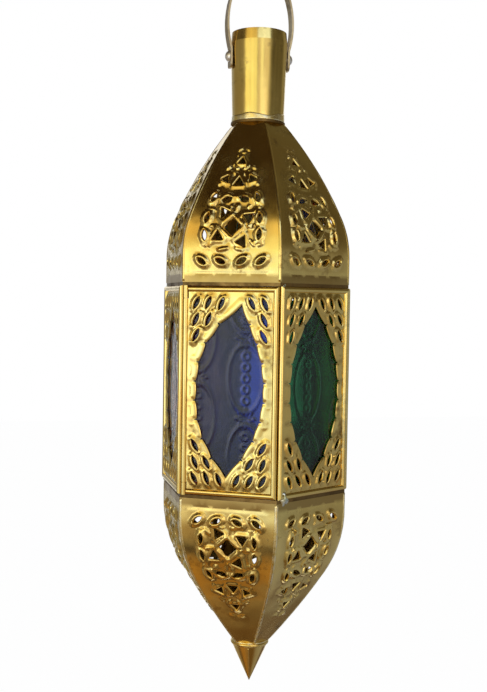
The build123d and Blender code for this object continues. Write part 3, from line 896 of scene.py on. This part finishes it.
def glass_relief(points, shift):
    """0 in the ground and 1 on the ridges of medallions with a beaded stem and rosettes between them."""
    total = np.zeros(len(points))
    half_across, half_up = medallion_half
    for column in pattern_copies:
        for row in pattern_copies:
            x = points[:, 0] - shift[0] - column * pattern_pitch[0]
            y = points[:, 1] - shift[1] - (row + column % 2 / 2) * pattern_pitch[1]
            total = np.maximum(total, ridge((np.hypot(x / half_across, y / half_up) - 1) * half_across))
            for level in bead_levels:
                ring = ridge(np.hypot(x, y - level) - bead_ring_radius)
                total = np.maximum(total, bead_ring_share * ring)
            up = y - pattern_pitch[1] / 2
            petal = rosette_radius + petal_reach * np.cos(rosette_petals * np.arctan2(up, x))
            total = np.maximum(total, ridge(np.hypot(x, up) - petal))
    return total


def glass_pane(face):
    """A pane with its relief pressed into the front and a plain back."""
    us = np.linspace(-glass_side, glass_side, glass_columns)
    vs = np.linspace(-glass_rise, glass_rise, glass_rows)
    grid = np.array([(u, v) for v in vs for u in us])
    count = len(grid)
    material, slot, shift = face_glass[face]
    depth = relief_depth * (1 - glass_relief(grid, shift))
    front = np.column_stack((glass_front - depth, grid[:, 0], body_middle_z + grid[:, 1]))
    faces = skin(glass_rows, glass_columns)
    order = np.arange(count).reshape(glass_rows, glass_columns)
    rim = np.concatenate((order[0], order[1:, -1], order[-1, -2::-1], order[-2:0:-1, 0])).tolist()
    back = front[rim]
    back[:, 0] = glass_front - glass_thickness
    for i, a in enumerate(rim):
        after = (i + 1) % len(rim)
        faces.append((rim[after], a, count + i, count + after))
    faces.append(tuple(reversed(range(count, count + len(rim)))))
    points = turned(np.vstack((front, back)), face_angles[face])
    is_door = face == door_face
    body = "door" if is_door else "lantern"
    piece = make_object(f"pressed_glass_{face}", points, faces, material, body)
    piece.data.set_sharp_from_angle(angle=glass_crease)
    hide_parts("door_glass" if is_door else f"glass_{face}")


for face in face_angles:
    glass_pane(face)

# Solder seams on the ridges of the dome and bowl, with the radius and unevenness of their bead
corner_names = {
    270: "front", 330: "front_right", 30: "rear_right",
    90: "rear", 150: "rear_left", 210: "front_left",
}
ridge_bead = (0.00156, 0.05)
ridge_depth = 0.0015
ridge_end_gap = 0.0006
ridge_points = 64
swell_step = 0.45


def seam_tube(name, angle, reaches, levels, bead, seed, material, sides=16):
    """A closed rounded bead of uneven thickness, along a path in one plane through the axis."""
    radius, spread = bead
    path = np.array([around(reach, radians(angle), level) for reach, level in zip(reaches, levels)])
    points = []
    for i, place in enumerate(path):
        along = Vector(path[min(i + 1, len(path) - 1)] - path[max(i - 1, 0)]).normalized()
        first = along.cross(Vector((place[1], -place[0], 0))).normalized()
        second = along.cross(first)
        width = radius * (1 + spread * noise.noise(Vector((i * swell_step, seed, 0.3))))
        for k in range(sides):
            turn = 2 * pi * k / sides
            points.append(Vector(place) + width * (cos(turn) * first + sin(turn) * second))
    faces = skin(len(path), sides, columns_close=True)
    faces.append(tuple(reversed(range(sides))))
    faces.append(tuple(range(len(points) - sides, len(points))))
    make_object(name, points, faces, material)


for angle, name in corner_names.items():
    for part, wall, material in (("dome", dome_wall, sheet_brass), ("bowl", bowl_wall, seam_metal)):
        places, ways = wall.at(np.linspace(ridge_end_gap, wall.length - ridge_end_gap, ridge_points))
        sink = ridge_depth * unit(np.column_stack((ways[:, 0] * corner_cos, ways[:, 1])))
        reaches = places[:, 0] / corner_cos - sink[:, 0]
        levels = wall.edge_z + wall.rise * (places[:, 1] - sink[:, 1])
        seed = angle + wall.rise
        seam_tube(f"{part}_seam_{name}", angle, reaches, levels, ridge_bead, seed, material)

# Seams between the beads of neighbouring fixed faces
fixed_corners = (330, 30, 90, 150)
thin_sides = 10
body_bead = (0.001, 0.25)
body_seam_sink = 0.0004
body_seam_end_gap = 0.002
body_seam_points = 60
body_seam_reach = corner_cos * (bead_apothem + half_side * bead_side) - body_seam_sink
reaches = [body_seam_reach] * body_seam_points
levels = np.linspace(body_low_z + body_seam_end_gap, body_high_z - body_seam_end_gap, body_seam_points)
for angle in fixed_corners:
    name = f"body_seam_{corner_names[angle]}"
    seam_tube(name, angle, reaches, levels, body_bead, angle, seam_metal, thin_sides)

# Rings of solder round the foot of the neck and under the end of the bowl
ring_steps = 120
skirt_height = 0.0052
skirt_height_wave = 0.0034
skirt_swell_wave = 0.35
skirt_sink = 0.0002
skirt_lift = 0.00005
collar_bead_reach = 0.01355
collar_bead_rise = 0.0003
collar_bead_radius = 0.00085
collar_bead_wave = 0.3
collar_bead_sides = 12


def neck_reach(up):
    """The neck's outer radius at a height above its foot."""
    return neck_foot_radius + neck_slope * up


def solder_ring(name, profile_at, material):
    """A closed ring about the axis whose section changes from turn to turn."""
    points = []
    for i in range(ring_steps):
        turn = 2 * pi * i / ring_steps
        points += [around(reach, turn, level) for reach, level in profile_at(turn)]
    faces = skin(ring_steps, len(points) // ring_steps, rows_close=True, columns_close=True)
    make_object(name, points, flipped(faces), material)


def ring_noise(turn, scale, level):
    """Unevenness that meets itself after a full turn."""
    return noise.noise(Vector((scale * cos(turn), scale * sin(turn), level)))


def neck_foot_profile(turn):
    """A pale, uneven skirt round the foot of the neck."""
    top = skirt_height + skirt_height_wave * ring_noise(turn, 1.6, 4.0)
    swell = 1 + skirt_swell_wave * ring_noise(turn, 4, 7.0)
    steps = [
        (-skirt_sink, skirt_lift),
        (0.0007 * swell, skirt_lift),
        (0.0006 * swell, 0.0012),
        (0.00045 * swell, 0.5 * top),
        (0.00035, 0.85 * top),
        (0.0001, top),
        (-skirt_sink, top),
    ]
    return [(neck_reach(up) + out, neck_low.z + up) for out, up in steps]


def collar_profile(turn):
    """A thin bead that closes the corner between the bowl's end and the collar."""
    size = collar_bead_radius * (1 + collar_bead_wave * ring_noise(turn, 3, 2.0))
    middle_z = bowl_end_z + collar_bead_rise
    spins = [2 * pi * k / collar_bead_sides for k in range(collar_bead_sides)]
    return [(collar_bead_reach + size * cos(spin), middle_z + size * sin(spin)) for spin in spins]


solder_ring("neck_foot_solder", neck_foot_profile, seam_metal)
solder_ring("collar_solder", collar_profile, seam_metal)

# Lumps of solder at the corners of the body: swells by share, scale and shift, and lumps by size and inset
lump_rows = 14
lump_columns = 22
lump_stretch = Vector((1, 1, 1.35))
lump_swells = ((0.30, 1.8, 0), (0.14, 4.5, 3))
lump = (0.0027, 0.0020)
large_front_lump = (0.0041, 0.0046)
lump_spread = (0.75, 1.15)
lump_sink = 0.0022
lump_lift = 0.0006
lump_seed = 90
end_seed = 0.6


def solder_lump(name, place, size, seed):
    """A rounded lump of solder, uneven all over."""
    points = []
    for i in range(1, lump_rows):
        for k in range(lump_columns):
            tilt, turn = pi * i / lump_rows, 2 * pi * k / lump_columns
            way = Vector((sin(tilt) * cos(turn), sin(tilt) * sin(turn), cos(tilt)))
            swell = 1.0
            for share, scale, shift in lump_swells:
                swell += share * noise.noise(way * scale + Vector((seed, shift, 0)))
            points.append(Vector(place) + swell * size * (way * lump_stretch))
    faces = flipped(skin(lump_rows - 1, lump_columns, columns_close=True))
    faces.append(tuple(range(lump_columns)))
    faces.append(tuple(reversed(range(len(points) - lump_columns, len(points)))))
    make_object(name, points, faces, solder_metal)


fixed_faces = [face for face in face_angles if face != door_face]
for number, face in enumerate(fixed_faces):
    chance = random.Random(lump_seed + number)
    for end, edge_z, side in (("lower", body_low_z, 1), ("upper", body_high_z, -1)):
        size, inset = lump
        size *= chance.uniform(*lump_spread)
        if face == "front_right" and end == "lower":
            size, inset = large_front_lump
        spot = np.array([(face_apothem - lump_sink, -bead_side + inset, edge_z + side * lump_lift)])
        place = turned(spot, face_angles[face])[0]
        solder_lump(f"solder_{face}_{end}", place, size, number * 2 + side * end_seed)

# Lapped joints of the rolled neck and tip
neck_bead = (0.0008, 0.3)
neck_seam_angle = 118
neck_seam_sink = 0.0003
neck_seam_low_z = neck_low.z + 0.005
neck_seam_high_z = neck_shoulder_z - 0.001
neck_seam_points = 30
tip_bead = (0.0005, 0.3)
tip_seam_angle = 252
tip_seam_sink = 0.0002
tip_seam_shares = np.linspace(0.03, 0.93, 20)
levels = np.linspace(neck_seam_low_z, neck_seam_high_z, neck_seam_points)
reaches = neck_reach(levels - neck_low.z) - neck_seam_sink
seam_tube("neck_seam", neck_seam_angle, reaches, levels, neck_bead, 5, seam_metal, thin_sides)
levels = tip_high.z + (tip_low.z - tip_high.z) * tip_seam_shares
reaches = tip_high.x * (1 - tip_seam_shares) - tip_seam_sink
seam_tube("tip_seam", tip_seam_angle, reaches, levels, tip_bead, 6, sheet_brass, thin_sides)

# Materials of the pieces that keep their shape: bead brass for all, then others for some
finishes = [
    (bead_brass, nodes),
    (strap_brass, ["bail_strap"]),
    (rivet_metal, ["left_bail_rivet", "right_bail_rivet"]),
    (inner_brass, ["candle_plate", "candle_cup", "cup_rivets"]),
    # Painted shade: the flange, the rings in their gaps and the hidden door stop in deep brown
    (shade_painted_brass, ["neck_flange", "door_stop", "upper_ring", "lower_ring"]),
    (sheet_brass, ["neck_tube", "tip_cone"]),
]
for material, names in finishes:
    for name in names:
        nodes[name].data.materials.clear()
        nodes[name].data.materials.append(material)

# Worn edges of the strap
worn = nodes["bail_strap"].modifiers.new("worn_edges", "BEVEL")
worn.width = 0.0004
worn.segments = 2
worn.limit_method = "ANGLE"
worn.angle_limit = radians(40)

# Stage: a pale floor and a surround, both white where they are seen and softer in the light that they give
middle = Vector((0, 0, body_middle_z))
floor_drop = 0.6
floor_half = 7.0
floor_paint = (0.92, 0.92, 0.92, 1)
floor_glow = 1.02
floor_glow_share = 0.94
surround_tint = (0.95, 0.97, 1.0, 1)
surround_strength = 0.6


def seen_ray(n):
    """1 for rays from the camera, from gloss and through glass, otherwise 0."""
    rays = n.add("ShaderNodeLightPath").outputs
    seen = n.math("MAXIMUM", rays["Is Camera Ray"], rays["Is Glossy Ray"])
    return n.math("MAXIMUM", seen, rays["Is Transmission Ray"])


def floor_material():
    """White where it is seen, with a little of the paint's shadow."""
    n = new_material("pale_floor")
    paint = n.add("ShaderNodeBsdfDiffuse", Color=floor_paint)
    glow = n.add("ShaderNodeEmission", Color=(1, 1, 1, 1), Strength=floor_glow)
    return n.blend(n.math("MULTIPLY", seen_ray(n), floor_glow_share), paint, glow)


def make_surround():
    """White where it is seen, and a soft cool light elsewhere."""
    n = Nodes(bpy.data.worlds.new("studio"), "ShaderNodeOutputWorld")
    white = n.add("ShaderNodeBackground", Color=(1, 1, 1, 1))
    soft = n.add("ShaderNodeBackground", Color=surround_tint, Strength=surround_strength)
    return n.blend(seen_ray(n), soft, white)


def stage_mesh(name, points, faces, material):
    """A plain mesh for the surroundings, not attached to the lantern."""
    thing = mesh_object(name, points, faces, material)
    return thing


floor_corners = [(-1, -1), (1, -1), (1, 1), (-1, 1)]
floor_points = [(x * floor_half, y * floor_half, cad_low.z - floor_drop) for x, y in floor_corners]
stage_mesh("floor", floor_points, [(0, 1, 2, 3)], floor_material())
scene.world = make_surround()

# Soft patches of tone round the lantern, mirrored by the brass: middle, half widths, softness and tone
room_tone = (0.34, 0.31, 0.24)
patches = [
    ((-108, 5), (34, 35), 10, (0.28, 0.25, 0.18)),
    ((-160, 5), (16, 35), 8, (0.36, 0.39, 0.42)),
    ((-46, 15), (26, 12), 5, (1.20, 1.12, 0.66)),
    ((-46, 8), (26, 5), 4, (1.35, 1.45, 0.95)),
    ((-46, -5), (32, 9), 4, (1.15, 1.34, 1.60)),
    ((-46, -16), (32, 3), 4, (0.86, 0.79, 0.60)),
    ((8, 5), (25, 26), 8, (0.80, 0.70, 0.54)),
    ((0, 22), (5, 8), 3, (1.10, 1.08, 0.80)),
    ((-20, 66), (170, 34), 6, (0.040, 0.024, 0.011)),
    ((-46, 32), (24, 9), 4, (1.12, 0.88, 0.38)),
    ((8, 37), (27, 7), 4, (1.25, 1.45, 1.80)),
    ((95, 46), (58, 38), 8, (0.110, 0.092, 0.055)),
    ((128, 22), (22, 14), 9, (0.26, 0.23, 0.15)),
    ((92, -8), (48, 16), 9, (0.34, 0.36, 0.37)),
    ((-50, -27), (70, 9), 4, (0.40, 0.31, 0.20)),
    ((-53, -42), (50, 5), 3, (0.040, 0.030, 0.024)),
    ((-68, -60), (36, 12), 3, (0.42, 0.23, 0.065)),
    ((20, -66), (50, 14), 5, (0.17, 0.11, 0.050)),
    ((95, -45), (50, 25), 10, (0.33, 0.34, 0.38)),
    ((130, -52), (20, 30), 6, (0.14, 0.105, 0.085)),
    ((-150, -72), (46, 16), 5, (0.14, 0.085, 0.042)),
    ((0, -90), (200, 15), 3, (0.14, 0.085, 0.042)),
]
patch_steepness = 4
blotch_size = (9, 16)
blotch_share = 0.3
room_size = (1.9, 1.9, 0.78)
room_azimuths = np.arange(-170, 142, 2)
room_elevations = np.arange(-90, 91, 2)


def room_color(azimuth, elevation):
    """The tone seen in one direction from the lantern."""
    color = np.array(room_tone)
    for (across, up), (half_across, half_up), softness, tone in patches:
        over = max(abs(azimuth - across) - half_across, abs(elevation - up) - half_up)
        share = 1 / (1 + np.exp(np.clip(patch_steepness * over / softness, -30, 30)))
        color = color * (1 - share) + np.array(tone) * share
    blotch = noise.noise(Vector((azimuth / blotch_size[0], elevation / blotch_size[1], 2.0)))
    return color * (1 + blotch_share * blotch)


def room_point(azimuth, elevation):
    """A point of the room's flattened shell, with azimuth 0 towards -Y and 90 towards +X."""
    turn, tilt = radians(azimuth), radians(elevation)
    way = np.array((cos(tilt) * sin(turn), -cos(tilt) * cos(turn), sin(tilt)))
    return tuple(way / np.linalg.norm(way / room_size) + np.array(middle))


def make_room():
    """An open shell of tones, seen by glossy rays alone."""
    spots = [(azimuth, elevation) for elevation in room_elevations for azimuth in room_azimuths]
    faces = flipped(skin(len(room_elevations), len(room_azimuths)))
    tones = [(*room_color(*spot), 1.0) for spot in spots]
    n = new_material("room_tones")
    glow = n.add("ShaderNodeEmission", Color=n.attribute("tone").outputs["Color"])
    room = stage_mesh("room", [room_point(*spot) for spot in spots], faces, n.surface(glow))
    colors = room.data.color_attributes.new("tone", "FLOAT_COLOR", "POINT")
    colors.data.foreach_set("color", np.array(tones).ravel())
    room.visible_camera = False
    room.visible_diffuse = False
    room.visible_transmission = False
    room.visible_shadow = False


make_room()


def area_light(name, place, size, power, color):
    """A soft rectangular light that faces the middle of the body."""
    data = bpy.data.lights.new(name, "AREA")
    data.shape = "RECTANGLE"
    data.size, data.size_y = size
    data.energy = power
    data.color = color
    lamp = in_scene(name, data)
    lamp.location = place
    lamp.rotation_euler = (middle - Vector(place)).to_track_quat("-Z", "Y").to_euler()


area_light("key", (0.25, -1.6, 0.1), (0.9, 1.2), 3.6, (1.0, 0.97, 0.91))
area_light("fill", (-1.5, -0.9, -0.2), (0.7, 0.9), 2.5, (1.0, 0.93, 0.80))

# Camera: found by fitting the lantern's corners to the photograph
camera_distance = 0.8007
camera_azimuth = -14.0
camera_drop = 0.015
camera_height = dome_edge_z - camera_drop
pitch = -2.36
roll = 0.9
yaw = 0.6
focal_pixels = 1032.0
image_height = 692.0
camera_data = bpy.data.cameras.new("camera")
camera_data.lens = focal_pixels / image_height * camera_data.sensor_width
camera = in_scene("camera", camera_data)
heading = radians(camera_azimuth)
stand = Vector((camera_distance * sin(heading), -camera_distance * cos(heading), camera_height))
look = Euler((radians(90 + pitch), 0, heading + radians(yaw)), "XYZ").to_matrix()
look = look @ Matrix.Rotation(radians(roll), 3, "Z")
camera.matrix_world = Matrix.Translation(stand) @ look.to_4x4()
scene.camera = camera
